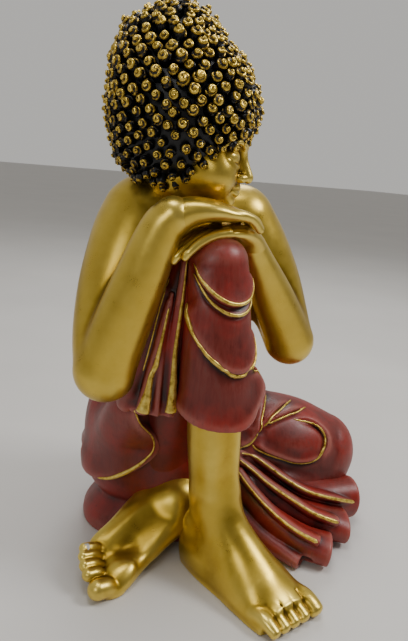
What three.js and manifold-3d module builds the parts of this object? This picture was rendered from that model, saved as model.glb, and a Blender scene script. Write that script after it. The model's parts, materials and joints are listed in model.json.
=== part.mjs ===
// A seated figure resting its head on its hands over one raised knee, made as a set of thin-walled
// resin castings that plug into each other and are bonded. Millimetres, +Z up, the figure faces -Y,
// its left hand is towards +X, and it stands on Z = 0.
import * as THREE from "three";
import { mergeVertices } from "three/addons/utils/BufferGeometryUtils.js";
import Module from "manifold-3d";

const wasm = await Module();
wasm.setup();
const { Manifold, Mesh } = wasm;

// ---------------------------------------------------------------- driving dimensions
const WALL = 6; // thickness of a casting
const BOND = 0.4; // gap between two castings, filled with adhesive
const LAP = 14; // how far a casting's end reaches inside the next one
const CAP = 5; // thickness of the cap of hair
const PLATE = 8; // thickness of the plate that closes the base
const SIDES = 16; // sides of a limb's section
const REACH = 400; // half-size of the blocks that cut and clip, larger than the figure

const HEAD_YAW = -38; // degrees from +X: where the face points, seen from above
const HEAD_PITCH = 4; // degrees the face looks down
const HEAD_CENTRE = [-88, 22, 518];

// ---------------------------------------------------------------- materials
const paint = (color, roughness, metalness) => new THREE.MeshStandardMaterial({ color, roughness, metalness });
const GOLD = paint(0xb8923a, 0.35, 0.8);
const RED = paint(0x7a2a22, 0.5, 0.1);
const HAIR = paint(0x2a2418, 0.4, 0.3);
const RAW = paint(0x8c8474, 0.9, 0);

// ---------------------------------------------------------------- shapes
const vec = (p) => new THREE.Vector3(...p);

// Turns a closed three.js geometry into a solid that can be joined and cut.
function solid(geometry) {
  const bare = geometry.index ? geometry.toNonIndexed() : geometry.clone();
  bare.deleteAttribute("normal");
  bare.deleteAttribute("uv");
  const merged = mergeVertices(bare, 1e-3);
  return new Manifold(
    new Mesh({
      numProp: 3,
      vertProperties: merged.attributes.position.array,
      triVerts: new Uint32Array(merged.index.array),
    }),
  );
}

// Rings swept through stations [x, y, z, a, b]: half-width a lies square to the sweep and to "up",
// b square to both. "ends" says how round each end is, 0 for flat; "grow" moves the skin outwards;
// "axis", where given, holds every ring square to one direction.
function loft(stations, { up = [0, 0, 1], axis, grow = 0, steps = 1, sides = SIDES, ends = [1, 1] } = {}) {
  const curve = (points) => new THREE.CatmullRomCurve3(points, false, "centripetal");
  const spine = curve(stations.map((s) => vec(s.slice(0, 3))));
  const widths = curve(stations.map((s) => new THREE.Vector3(s[3], s[4] ?? s[3], 0)));
  const tangentAt = (t) => (axis ? vec(axis) : spine.getTangent(t));
  const count = (stations.length - 1) * steps;
  const rings = [];
  const addRing = (centre, tangent, a, b) => {
    const across = new THREE.Vector3().crossVectors(vec(up), tangent).normalize();
    const along = new THREE.Vector3().crossVectors(tangent, across);
    const ring = [];
    for (let k = 0; k < sides; k++) {
      const turn = (2 * Math.PI * k) / sides;
      ring.push(
        centre
          .clone()
          .addScaledVector(across, a * Math.cos(turn))
          .addScaledVector(along, b * Math.sin(turn)),
      );
    }
    rings.push(ring);
  };
  // The shrinking rings of a round end, and the point that closes it.
  const closeEnd = (t, sign, roundness) => {
    const centre = spine.getPoint(t);
    const tangent = tangentAt(t);
    const width = widths.getPoint(t);
    const depth = Math.min(width.x, width.y) * roundness + grow;
    const domed = (angle) =>
      addRing(
        centre.clone().addScaledVector(tangent, sign * depth * Math.sin(angle)),
        tangent,
        (width.x + grow) * Math.cos(angle),
        (width.y + grow) * Math.cos(angle),
      );
    return { point: centre.clone().addScaledVector(tangent, sign * depth), domed: roundness > 0 ? domed : () => {} };
  };
  const dome = [Math.PI / 5, Math.PI / 2.7];
  const first = closeEnd(0, -1, ends[0]);
  const last = closeEnd(1, 1, ends[1]);
  [...dome].reverse().forEach(first.domed);
  for (let i = 0; i <= count; i++) {
    const t = i / count;
    const width = widths.getPoint(t);
    const centre = spine.getPoint(t);
    const tangent = tangentAt(t);
    if (i === 0 && ends[0] === 0) centre.addScaledVector(tangent, -grow);
    if (i === count && ends[1] === 0) centre.addScaledVector(tangent, grow);
    addRing(centre, tangent, width.x + grow, width.y + grow);
  }
  dome.forEach(last.domed);

  const corners = [];
  const face = (...points) => points.forEach((p) => corners.push(p.x, p.y, p.z));
  for (let i = 0; i + 1 < rings.length; i++) {
    for (let k = 0; k < sides; k++) {
      const n = (k + 1) % sides;
      face(rings[i][k], rings[i][n], rings[i + 1][n]);
      face(rings[i][k], rings[i + 1][n], rings[i + 1][k]);
    }
  }
  for (let k = 0; k < sides; k++) {
    const n = (k + 1) % sides;
    face(first.point, rings[0][n], rings[0][k]);
    face(last.point, rings.at(-1)[k], rings.at(-1)[n]);
  }
  return solid(new THREE.BufferGeometry().setAttribute("position", new THREE.Float32BufferAttribute(corners, 3)));
}

// The head's own directions: where it faces, its right side and its crown.
const yaw = THREE.MathUtils.degToRad(HEAD_YAW);
const pitch = THREE.MathUtils.degToRad(HEAD_PITCH);
const facing = new THREE.Vector3(Math.cos(yaw) * Math.cos(pitch), Math.sin(yaw) * Math.cos(pitch), -Math.sin(pitch));
const leftSide = new THREE.Vector3(-Math.sin(yaw), Math.cos(yaw), 0);
const crown = new THREE.Vector3().crossVectors(facing, leftSide);

// A point given forward, leftward and upward of the head's centre.
const onHead = (forward, left, up) =>
  vec(HEAD_CENTRE).addScaledVector(facing, forward).addScaledVector(leftSide, left).addScaledVector(crown, up);

// An ellipsoid lined up with the head, with half-sizes forward, sideways and upward.
function headBall(centre, halfSizes, grow) {
  const [f, s, u] = halfSizes.map((h) => h + grow);
  const frame = new THREE.Matrix4().makeBasis(
    facing.clone().multiplyScalar(f),
    leftSide.clone().multiplyScalar(s),
    crown.clone().multiplyScalar(u),
  );
  return solid(new THREE.SphereGeometry(1, 20, 14).applyMatrix4(frame.setPosition(centre)));
}

// A block that holds everything behind a point, as seen looking along a direction.
function behind(point, direction) {
  const outward = direction.clone().normalize();
  const block = new THREE.BoxGeometry(2 * REACH, 2 * REACH, 2 * REACH);
  block.applyQuaternion(new THREE.Quaternion().setFromUnitVectors(new THREE.Vector3(0, 0, 1), outward));
  block.translate(...point.clone().addScaledVector(outward, -REACH).toArray());
  return solid(block);
}

const UPWARD = new THREE.Vector3(0, 0, 1);
const below = (z) => behind(new THREE.Vector3(0, 0, z), UPWARD);
const join = (...parts) => parts.reduce((all, part) => all.add(part));

// ---------------------------------------------------------------- the skin of every casting
// Each form gives its outer skin moved outwards by g, so that its neighbours can be cut to fit it.
// A form runs on past its joints; the joints are cut further down.
const UPRIGHT = [0, 1, 0];

// The head's outline through the crown, as [forward, up, half-length, half-breadth].
const SKULL = [
  [-6, -88, 30, 34],
  [-5, -77, 46, 50],
  [-5, -61, 58, 60],
  [-5, -45, 66, 65],
  [-4, -26, 71, 69],
  [-2, -2, 76, 71],
  [-5, 24, 73, 69],
  [-13, 48, 62, 60],
  [-20, 64, 50, 48],
  [-19, 77, 34, 33],
];

const form = {
  hair: (g) =>
    loft(
      SKULL.map(([f, u, a, b]) => [...onHead(f, 0, u).toArray(), a, b]),
      { up: leftSide.toArray(), axis: crown.toArray(), grow: g, sides: 20, ends: [0.3, 0.4] },
    ),
  head: (g) => join(form.hair(g - CAP), headBall(onHead(20, 0, -52), [46, 43, 46], g)),
  neck: (g) => loft([[-60, 66, 380, 36], [-78, 52, 430, 33], [-96, 38, 480, 31]], { up: UPRIGHT, grow: g, ends: [0, 0] }),
  torso: (g) =>
    loft(
      [
        [-8, 106, 120, 92, 62],
        [-14, 102, 200, 84, 58],
        [-28, 90, 275, 84, 58],
        [-44, 76, 336, 94, 57],
        [-50, 68, 380, 92, 48],
        [-58, 64, 410, 62, 38],
      ],
      { up: UPRIGHT, grow: g, sides: 20, ends: [0, 0.4] },
    ),
  rightArm: (g) =>
    join(
      loft(
        [
          [-108, 66, 396, 50],
          [-120, 60, 378, 49],
          [-134, 51, 352, 46],
          [-149, 40, 318, 42],
          [-161, 27, 276, 38],
          [-169, 8, 242, 34],
        ],
        { up: UPRIGHT, grow: g },
      ),
      loft(
        [
          [-170, 5, 242, 33],
          [-161, -3, 283, 31],
          [-147, -17, 341, 27],
          [-132, -28, 394, 22],
          [-122, -34, 410, 20],
        ],
        { up: UPRIGHT, grow: g },
      ),
    ),
  leftArm: (g) =>
    join(
      loft(
        [
          [14, 60, 400, 43],
          [34, 51, 368, 42],
          [55, 39, 328, 38],
          [70, 28, 288, 34],
          [78, 16, 256, 31],
        ],
        { up: UPRIGHT, grow: g },
      ),
      loft(
        [
          [79, 13, 254, 30],
          [57, 8, 290, 28],
          [30, 0, 322, 25],
          [-2, -14, 362, 18],
          [-16, -20, 380, 15],
        ],
        { up: UPRIGHT, grow: g },
      ),
    ),
  rightHand: (g) =>
    loft(
      [
        [-120, -34, 408, 18, 16],
        [-98, -40, 419, 22, 12],
        [-70, -42, 416, 26, 9],
        [-38, -42, 409, 20, 6],
      ],
      { grow: g, sides: 12, ends: [0.6, 0.6] },
    ),
  leftHand: (g) =>
    loft(
      [
        [-18, -21, 381, 14, 13],
        [-38, -26, 394, 19, 10],
        [-60, -28, 397, 24, 8],
        [-88, -31, 389, 22, 6],
        [-112, -35, 374, 17, 5],
      ],
      { grow: g, sides: 12, ends: [0.6, 0.6] },
    ),
  rightLeg: (g) =>
    join(
      loft(
        [
          [-66, -40, 310, 27],
          [-63, -42, 240, 30],
          [-58, -43, 165, 29],
          [-51, -45, 100, 25],
          [-48, -44, 66, 26],
          [-52, -38, 32, 29, 31],
        ],
        { up: UPRIGHT, grow: g },
      ),
      loft(
        [
          [-56, -32, 10, 27, 32],
          [-48, -62, 10, 30, 54],
          [-36, -98, 9, 37, 38],
          [-21, -136, 8, 45, 22],
          [-11, -166, 7, 46, 12],
        ],
        { grow: g, ends: [0.8, 0.7] },
      ),
    ),
  leftFoot: (g) =>
    loft(
      [
        [-20, 8, 40, 30, 36],
        [-58, 6, 38, 32, 38],
        [-92, 0, 32, 32, 38],
        [-130, -8, 20, 36, 30],
        [-164, -18, 12, 38, 21],
        [-188, -22, 9, 37, 14],
      ],
      { grow: g, ends: [0.8, 0.6] },
    ),
  hips: (g) =>
    loft(
      [
        [-10, 92, -24, 154, 98],
        [-12, 92, 12, 148, 95],
        [-18, 94, 55, 148, 93],
        [-25, 97, 100, 146, 90],
        [-24, 99, 140, 134, 85],
        [-15, 100, 174, 112, 76],
        [-14, 102, 200, 89, 63],
      ],
      { up: UPRIGHT, grow: g, sides: 24, ends: [0, 0] },
    ),
  thigh: (g) =>
    loft(
      [
        [-64, 74, 110, 60, 62],
        [-70, 40, 196, 50, 54],
        [-72, 8, 276, 40, 44],
        [-70, -20, 330, 34, 36],
        [-69, -34, 350, 31, 31],
      ],
      { up: [1, 0, 0], grow: g, ends: [0.5, 1] },
    ),
  pleats: (g) =>
    loft(
      [
        [-96, -10, 372, 12, 18],
        [-108, -8, 310, 18, 22],
        [-116, -6, 250, 22, 24],
        [-120, -6, 196, 26, 27],
      ],
      { up: UPRIGHT, grow: g, sides: 12, ends: [0.6, 0] },
    ),
  drape: (g) =>
    loft(
      [
        [-69, -40, 362, 30, 29],
        [-67, -42, 326, 35, 34],
        [-65, -44, 271, 39, 38],
        [-61, -46, 222, 44, 42],
        [-57, -48, 180, 48, 44],
      ],
      { up: UPRIGHT, grow: g, sides: 20, ends: [0.9, 0] },
    ),
  foldedLeg: (g) =>
    join(
      loft(
        [
          [60, 76, 94, 66, 70],
          [118, 54, 88, 62, 66],
          [150, 42, 78, 60, 62],
          [174, 32, 70, 56, 58],
        ],
        { grow: g, sides: 20, ends: [0.4, 0.85] },
      ),
      loft(
        [
          [166, 12, 46, 44, 44],
          [90, -8, 44, 38, 42],
          [6, 2, 44, 34, 37],
        ],
        { grow: g, ends: [0.8, 0] },
      ),
    ),
  fan: (g) =>
    loft(
      [
        [40, 10, 56, 40, 24],
        [75, -25, 44, 62, 24],
        [110, -60, 28, 77, 22],
        [132, -82, 16, 80, 17],
      ],
      { grow: g, ends: [0.3, 1.6] },
    ),
};

// The wall of a form: its skin less the same skin moved inwards by the wall's thickness. A
// soled shell keeps a wall over the floor as well, for a casting that stands on it.
const shell = (name) => form[name](0).subtract(form[name](-WALL));
const soledShell = (name) => form[name](0).subtract(form[name](-WALL).subtract(below(WALL)));

// Cuts a solid back from its neighbours, leaving the bond line between them.
const clearOf = (part, ...names) => names.reduce((left, name) => left.subtract(form[name](BOND)), part);

// The largest body of a solid, without the slivers that a cut can leave.
const largest = (part) => part.decompose().reduce((a, b) => (b.volume() > a.volume() ? b : a));

// ---------------------------------------------------------------- the castings
const castings = new THREE.Group();

function cast(name, part, material) {
  const made = largest(part.subtract(below(0))).getMesh();
  const geometry = new THREE.BufferGeometry()
    .setAttribute("position", new THREE.BufferAttribute(made.vertProperties, 3))
    .setIndex(new THREE.BufferAttribute(made.triVerts, 1));
  geometry.computeVertexNormals();
  const mesh = new THREE.Mesh(geometry, material);
  mesh.name = name;
  castings.add(mesh);
}

// Head: a gold shell let over the neck, under a separate cap of curled hair.
const hairline = behind(onHead(72, 0, -14), facing.clone().multiplyScalar(0.72).addScaledVector(crown, -0.7));
cast("hair_cap", clearOf(form.hair(0).intersect(hairline), "head", "neck", "torso", "rightHand", "rightArm"), HAIR);
cast("head_shell", clearOf(shell("head"), "neck", "torso", "rightHand", "rightArm"), GOLD);

// Trunk, open down through the neck, and the arms let against it.
const trunk = join(shell("torso"), form.neck(0).subtract(form.torso(-WALL))).subtract(form.neck(-WALL));
cast("torso_shell", trunk.subtract(below(170)), GOLD);
cast("right_arm", clearOf(shell("rightArm"), "torso", "neck"), GOLD);
cast("left_arm", clearOf(shell("leftArm"), "torso", "neck"), GOLD);
cast("right_hand", clearOf(form.rightHand(0), "rightArm"), GOLD);
cast("left_hand", clearOf(form.leftHand(0), "leftArm", "rightArm", "rightHand"), GOLD);

// Legs: the raised one is a hollow shin and foot that reaches up inside the robe.
cast("right_leg", soledShell("rightLeg").intersect(below(280)), GOLD);
cast("left_foot", clearOf(soledShell("leftFoot"), "rightLeg"), GOLD);

// Robe.
const over = ["torso", "rightArm", "leftArm", "rightHand", "leftHand", "rightLeg", "leftFoot"];
cast("knee_drape", clearOf(shell("drape"), ...over), RED);
cast("side_pleats", clearOf(form.pleats(0), ...over, "drape"), RED);
cast("raised_thigh", clearOf(shell("thigh"), ...over, "drape", "pleats").subtract(form.hips(-LAP)), RED);
cast("folded_leg", clearOf(shell("foldedLeg"), ...over, "drape", "thigh").subtract(form.hips(-LAP)), RED);
cast("hip_shell", clearOf(shell("hips"), ...over, "thigh", "foldedLeg", "pleats").intersect(below(190)), RED);
cast("hem_fan", clearOf(form.fan(0), ...over, "drape", "foldedLeg", "hips"), RED);
cast("base_plate", clearOf(form.hips(-WALL - BOND).intersect(below(PLATE)), ...over, "foldedLeg"), RAW);

// The frame's origin is the middle of the footprint.
const box = new THREE.Box3().setFromObject(castings);
castings.position.set(-(box.min.x + box.max.x) / 2, -(box.min.y + box.max.y) / 2, 0);
castings.updateMatrixWorld(true);
export default castings;
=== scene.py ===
"""Blender looks for the seated resting figure. Lengths are written in millimetres of the figure's own
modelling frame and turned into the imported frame's metres by place()."""

import json
import math

import bpy
import numpy as np
import openvdb
from mathutils import Matrix, Vector

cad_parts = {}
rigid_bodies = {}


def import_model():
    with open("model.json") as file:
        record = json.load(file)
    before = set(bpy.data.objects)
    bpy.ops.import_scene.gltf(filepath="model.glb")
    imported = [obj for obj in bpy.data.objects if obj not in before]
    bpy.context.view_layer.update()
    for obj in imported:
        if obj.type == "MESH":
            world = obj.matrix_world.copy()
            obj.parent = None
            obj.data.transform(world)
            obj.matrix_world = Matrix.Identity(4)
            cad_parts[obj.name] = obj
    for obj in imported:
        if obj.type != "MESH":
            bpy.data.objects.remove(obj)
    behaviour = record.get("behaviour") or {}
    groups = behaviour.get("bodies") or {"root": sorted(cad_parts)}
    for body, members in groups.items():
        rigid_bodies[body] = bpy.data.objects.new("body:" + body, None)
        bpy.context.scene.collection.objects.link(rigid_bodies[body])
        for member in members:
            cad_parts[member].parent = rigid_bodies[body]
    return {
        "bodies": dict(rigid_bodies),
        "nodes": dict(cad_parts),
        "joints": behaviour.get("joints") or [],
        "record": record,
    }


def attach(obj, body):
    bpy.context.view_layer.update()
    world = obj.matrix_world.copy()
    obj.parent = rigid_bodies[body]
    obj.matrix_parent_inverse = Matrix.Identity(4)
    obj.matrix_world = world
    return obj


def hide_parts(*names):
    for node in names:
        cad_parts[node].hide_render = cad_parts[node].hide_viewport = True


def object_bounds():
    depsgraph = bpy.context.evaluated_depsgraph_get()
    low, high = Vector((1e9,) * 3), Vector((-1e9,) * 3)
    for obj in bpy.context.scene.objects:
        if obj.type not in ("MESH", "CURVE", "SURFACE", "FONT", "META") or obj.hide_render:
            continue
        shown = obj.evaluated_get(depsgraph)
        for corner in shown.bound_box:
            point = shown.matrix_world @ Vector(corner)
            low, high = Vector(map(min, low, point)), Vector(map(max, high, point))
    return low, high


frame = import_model()
CAD_LOW, CAD_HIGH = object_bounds()

FIGURE_HEIGHT = 609.3  # mm, over the hair
FIGURE_MIDDLE = (10.45, 2.7)  # mm, middle of the footprint
SCALE = (CAD_HIGH[2] - CAD_LOW[2]) / FIGURE_HEIGHT
FAR = 30.0  # mm, distances are not kept beyond this
rng = np.random.default_rng(7)


def place(points):
    """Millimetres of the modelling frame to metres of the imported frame."""
    middle = [(CAD_LOW[i] + CAD_HIGH[i]) / 2 for i in (0, 1)] + [CAD_LOW[2]]
    return (np.asarray(points, float) - [*FIGURE_MIDDLE, 0]) * SCALE + middle


# ---- clay
def flow(stations, cuts=4):
    """A smooth curve through rows of numbers, cut into short pieces."""
    rows = np.asarray(stations, float)
    ends = np.vstack([2 * rows[0] - rows[1], rows, 2 * rows[-1] - rows[-2]])
    out = []
    for a, b, c, d in zip(ends, ends[1:], ends[2:], ends[3:]):
        for t in np.arange(cuts) / cuts:
            bend = (2 * a - 5 * b + 4 * c - d) * t**2
            twist = (3 * b - a - 3 * c + d) * t**3
            out.append(0.5 * (2 * b + (c - a) * t + bend + twist))
    return np.array(out + [rows[-1]])


def unit(v):
    """The same direction with length 1."""
    v = np.asarray(v, float)
    return v / np.linalg.norm(v)


def calm(rows, times=1):
    """Evens out neighbouring rows, in place."""
    for _ in range(times):
        rows[1:-1] = (rows[:-2] + 2 * rows[1:-1] + rows[2:]) / 4


def units(rows):
    """Each row with length 1."""
    return rows / np.maximum(np.linalg.norm(rows, axis=1), 1e-6)[:, None]


def oval(u, v, s, a, b, c):
    """Distance to an ellipsoid's surface, close to it."""
    u, v, s = u / a, v / b, s / c
    q1 = np.sqrt(u * u + v * v + s * s)
    q2 = np.sqrt((u / a) ** 2 + (v / b) ** 2 + (s / c) ** 2)
    return np.where(q1 < 0.05, -np.minimum(a, b), q1 * (q1 - 1) / np.maximum(q2, 1e-4))


def curve(points, gap=2.0):
    """Evenly spaced points on a smooth line through a few."""
    fine = flow(points, 12)
    run = np.r_[0, np.linalg.norm(np.diff(fine[:, :3], axis=0), axis=1).cumsum()]
    at = np.linspace(0, run[-1], max(4, int(run[-1] / gap)))
    return np.stack([np.interp(at, run, c) for c in fine.T], 1)


def step_up(x, low, high):
    """A soft rise from 0 at low to 1 at high."""
    t = np.clip((x - low) / (high - low), 0, 1)
    return t * t * (3 - 2 * t)


def meld(gap, soft):
    """How far two surfaces run into each other where their distances differ by gap."""
    return np.clip(soft - np.abs(gap), 0, None) ** 2 / (4 * soft) if soft else 0


class Clay:
    """A block of voxels holding the distance to a surface; negative is inside."""

    def __init__(self, low, high, step=1.6):
        self.low, self.step = np.array(low, float), step
        self.shape = np.ceil((np.array(high) - low) / step).astype(int) + 1
        self.axes = [(self.low[i] + step * np.arange(self.shape[i])).astype(np.float32) for i in range(3)]
        self.d = np.full(self.shape, FAR, np.float32)

    def box(self, low, high):
        a = np.clip(np.floor((np.asarray(low) - self.low) / self.step), 0, self.shape).astype(int)
        b = np.clip(np.ceil((np.asarray(high) - self.low) / self.step) + 1, 0, self.shape).astype(int)
        return tuple(slice(i, max(i, j)) for i, j in zip(a, b))

    def grid(self, box):
        x, y, z = (axis[s] for axis, s in zip(self.axes, box))
        return x[:, None, None], y[None, :, None], z[None, None, :]

    def tube(self, stations, up=(0, 0, 1), ends=(1, 1), cuts=4, axis=None, reach=20.0):
        """Oval rings swept through stations [x, y, z, a] or [x, y, z, a, b]; ends round off the two tips."""
        rows = flow([[*s[:4], s[4] if len(s) > 4 else s[3]] for s in stations], cuts)
        ahead = np.gradient(rows[:, :3], axis=0) if axis is None else np.tile(axis, (len(rows), 1))
        ahead = units(ahead)
        across = np.cross(up, ahead)
        flat = np.linalg.norm(across, axis=1) < 0.15
        across[flat] = np.cross((0.6, -0.6, 0.5), ahead[flat])
        across = units(across)
        along = np.cross(ahead, across)
        pad = rows[:, 3:].max() + reach
        whole = self.box(rows[:, :3].min(0) - pad, rows[:, :3].max(0) + pad)
        out = np.full([s.stop - s.start for s in whole], FAR, np.float32)
        last = len(rows) - 2
        for i, (p, q) in enumerate(zip(rows, rows[1:])):
            step = q[:3] - p[:3]
            pad = max(p[3:].max(), q[3:].max()) + reach
            part = self.box(np.minimum(p, q)[:3] - pad, np.maximum(p, q)[:3] + pad)
            grid = self.grid(part)
            before = sum((v - o) * n for v, o, n in zip(grid, p, ahead[i]))
            after = sum((v - o) * n for v, o, n in zip(grid, q, ahead[i + 1]))
            near = np.nonzero((before > (-pad if i == 0 else -0.01)) & (after < (pad if i == last else 0.01)))
            if not len(near[0]):
                continue
            w = np.stack([self.axes[k][part[k]][near[k]] - p[k] for k in range(3)], 1)
            turn = ahead[i + 1] - ahead[i]
            f, g, m, n = w @ ahead[i], w @ turn, step @ ahead[i], step @ turn
            t = np.clip(f / m, 0, 1)
            for _ in range(3):
                slope = np.minimum(g - m - 2 * t * n, -0.25 * m)
                t = np.clip(t - (f + t * (g - m) - t * t * n) / slope, 0, 1)
            w = w - t[:, None] * step
            u, v, s = (w @ h[i] + t * (w @ (h[i + 1] - h[i])) for h in (across, along, ahead))
            a, b = (p[k] + t * (q[k] - p[k]) for k in (3, 4))
            c = np.minimum(a, b) * np.where(s < 0, max(ends[0], 0.02), max(ends[1], 0.02))
            out_at = tuple(k + s_.start - w_.start for k, s_, w_ in zip(near, part, whole))
            out[out_at] = np.minimum(out[out_at], oval(u, v, s, a, b, c))
        return whole, out

    def ball(self, centre, radii, frame=np.eye(3), reach=20.0):
        """An ellipsoid; frame's rows are its own axes."""
        r = np.broadcast_to(np.asarray(radii, float), 3)
        whole = self.box(np.asarray(centre) - r.max() - reach, np.asarray(centre) + r.max() + reach)
        x, y, z = self.grid(whole)
        w = [x - centre[0], y - centre[1], z - centre[2]]
        u = [w[0] * m[0] + w[1] * m[1] + w[2] * m[2] for m in frame]
        return whole, oval(*u, *r).astype(np.float32)

    def half(self, point, outward):
        """Everything behind a plane."""
        n = unit(outward)
        whole = tuple(slice(0, k) for k in self.shape)
        x, y, z = self.grid(whole)
        dist = (x - point[0]) * n[0] + (y - point[1]) * n[1] + (z - point[2]) * n[2]
        return whole, np.clip(dist, -FAR, FAR).astype(np.float32)

    def join(self, patch, soft=0.0):
        """Adds a shape, melting into it over `soft`."""
        box, dist = patch
        own = self.d[box]
        own[...] = np.minimum(own, dist) - meld(own - dist, soft)

    def cut(self, patch, soft=0.0):
        """Takes a shape away."""
        box, dist = patch
        own = self.d[box]
        own[...] = np.maximum(own, -dist) + meld(own + dist, soft)

    def keep(self, patch, soft=0.0):
        """Leaves only what lies inside a shape."""
        box, dist = patch
        own = self.d[box]
        kept = np.maximum(own, dist) + meld(own - dist, soft)
        self.d[...] = FAR
        self.d[box] = kept

    def limb(self, stations, soft=0.0, **shape):
        """Adds a tube."""
        self.join(self.tube(stations, **shape), soft)

    def lump(self, centre, radii, soft, frame=np.eye(3), reach=20.0):
        """Adds an ellipsoid."""
        self.join(self.ball(centre, radii, frame, reach), soft)

    def dent(self, centre, radii, soft, frame=np.eye(3)):
        """Takes an ellipsoid away."""
        self.cut(self.ball(centre, radii, frame), soft)

    def stand(self):
        """Cuts the underside flat at the floor."""
        self.keep(self.half((0, 0, 0), (0, 0, -1)), 2)

    def swell(self, low, high, lift):
        """Moves the surface outwards by lift(x, y, z) inside a window."""
        box = self.box(low, high)
        self.d[box] -= lift(*self.grid(box)).astype(np.float32)

    def lip(self, line, height, over, fade=11.0, under=0.4, ends=(0.15, 0.15)):
        """Raises the cloth on the side `over` points to, as an edge lying on the layer beneath."""
        line = self.settle(curve(line))
        count = len(line)
        side = units(np.cross(self.normals(line), np.gradient(line, axis=0)))
        side *= np.sign((side @ np.asarray(over, float)).sum())
        where = np.arange(count) / (count - 1)
        fade_in = step_up(where, -0.01, ends[0]) * step_up(1 - where, -0.01, ends[1])
        reach = fade * 2
        box = self.box(line.min(0) - reach, line.max(0) + reach)
        near = np.nonzero(np.abs(self.d[box]) < height + 7)
        points = np.stack([self.axes[k][box[k]][near[k]] for k in range(3)], 1)
        best, which = np.full(len(points), 1e9), np.zeros(len(points), int)
        for i, p in enumerate(line):
            gap = ((points - p) ** 2).sum(1)
            closer = gap < best
            best[closer], which[closer] = gap[closer], i
        s = ((points - line[which]) * side[which]).sum(1)
        edge = step_up(s, -1.3, 1.3)
        shape = edge * np.exp(-((np.maximum(s, 0) / fade) ** 2))
        shape -= (1 - edge) * under * np.exp(-((np.minimum(s, 0) / (0.5 * fade)) ** 2))
        shape *= fade_in[which] * (1 - step_up(np.sqrt(best), reach * 0.6, reach))
        self.d[box][near] -= (height * shape).astype(np.float32)

    def layer(self, low, high, across, outline, run, thick, fade):
        """Lays a cloth of some thickness on the surface inside an outline drawn over (across, z), thinning
        away from the outline's first `run` corners."""
        box = self.box(low, high)
        x, y, z = self.grid(box)
        e = x * across[0] + y * across[1] + 0 * z
        z = z + 0 * e
        inside, edge, near = np.zeros(e.shape, bool), np.full(e.shape, 1e9), np.full(e.shape, 1e9)
        for i, (a, b) in enumerate(zip(outline, np.roll(outline, -1, axis=0))):
            way = b - a
            t = np.clip(((e - a[0]) * way[0] + (z - a[1]) * way[1]) / (way @ way), 0, 1)
            gap = np.hypot(e - a[0] - t * way[0], z - a[1] - t * way[1])
            edge = np.minimum(edge, gap)
            if i < run:
                near = np.minimum(near, gap)
            crosses = (z < a[1]) != (z < b[1])
            inside ^= crosses & (e < a[0] + (z - a[1]) * way[0] / (way[1] if abs(way[1]) > 1e-6 else 1e-6))
        lifted = self.d[box] - thick * np.exp(-((near / fade) ** 2))
        walled = np.maximum(lifted, np.where(inside, -edge, edge) * 0.9)
        self.join((box, walled.astype(np.float32)), 2.5)

    def rope(self, points, soft, ends=(1, 1), dig=False):
        """A round ridge, or a groove, through [x, y, z, radius]."""
        way = np.abs(np.subtract(points[-1][:3], points[0][:3]))
        patch = self.tube(points, up=np.eye(3)[way.argmin()], ends=ends, reach=max(13.0, soft + 3))
        if dig:
            self.cut(patch, soft)
        else:
            self.join(patch, soft)

    def soften(self, times=1):
        """Rounds off everything a little."""
        for _ in range(times):
            for axis in range(3):
                calm(np.moveaxis(self.d, axis, 0))

    def read(self, points, field=None):
        """Distances at points, between voxels."""
        field = self.d if field is None else field
        at = (np.asarray(points) - self.low) / self.step
        at = np.clip(at, 0, self.shape - 1.001)
        i = at.astype(int)
        f = at - i
        out = 0
        for dx, dy, dz in np.ndindex(2, 2, 2):
            w = np.abs(1 - dx - f[:, 0]) * np.abs(1 - dy - f[:, 1]) * np.abs(1 - dz - f[:, 2])
            out = out + w * field[i[:, 0] + dx, i[:, 1] + dy, i[:, 2] + dz]
        return out

    def normals(self, points):
        points = np.asarray(points, float)
        return units(np.stack([self.read(points + e) - self.read(points - e)
                               for e in np.eye(3) * self.step], 1))

    def settle(self, points, lift=0.0, rounds=8):
        """Slides points on to the surface, or lift above it."""
        points = np.array(points, float)
        for _ in range(rounds):
            points -= self.normals(points) * np.clip(self.read(points) - lift, -4, 4)[:, None] * 0.9
        return points

    def hollows(self, reach):
        """How open the surroundings of each voxel are: negative in a crease, positive on a ridge."""
        n = max(1, int(round(reach / self.step)))
        field = np.clip(self.d, -reach, reach)
        for axis in range(3):
            a = np.moveaxis(field, axis, 0)
            padded = np.concatenate([np.repeat(a[:1], n + 1, 0), a, np.repeat(a[-1:], n, 0)])
            total = padded.cumsum(0, dtype=np.float64)
            mean = (total[2 * n + 1 :] - total[: -2 * n - 1]) / (2 * n + 1)
            field = np.moveaxis(mean, 0, axis).astype(np.float32)
        return field / reach

    def skin(self):
        """The surface's points and four-sided faces."""
        d = self.d
        for axis in range(3):
            a = np.moveaxis(d, axis, 0)
            a[0], a[-1] = np.maximum(a[0], 1), np.maximum(a[-1], 1)
        grid = openvdb.FloatGrid(background=FAR)
        grid.copyFromArray(np.clip(d, -FAR, FAR))
        points, quads = grid.convertToQuads(isovalue=0.0)
        points = points.astype(float) * self.step + self.low
        for _ in range(2):
            off = np.clip(self.read(points), -self.step / 2, self.step / 2)
            points -= self.normals(points) * off[:, None]
        return points, quads[:, ::-1] if quads_turned(points, quads, self) else quads


def quads_turned(points, quads, clay):
    """Whether most faces look inwards."""
    some = quads[:: max(1, len(quads) // 400)]
    p = points[some]
    n = np.cross(p[:, 2] - p[:, 0], p[:, 3] - p[:, 1])
    return (n * clay.normals(p.mean(1))).sum() < 0


# ---- pieces
def add(name, data):
    """A new object in the scene."""
    made = bpy.data.objects.new(name, data)
    bpy.context.scene.collection.objects.link(made)
    return made


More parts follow.
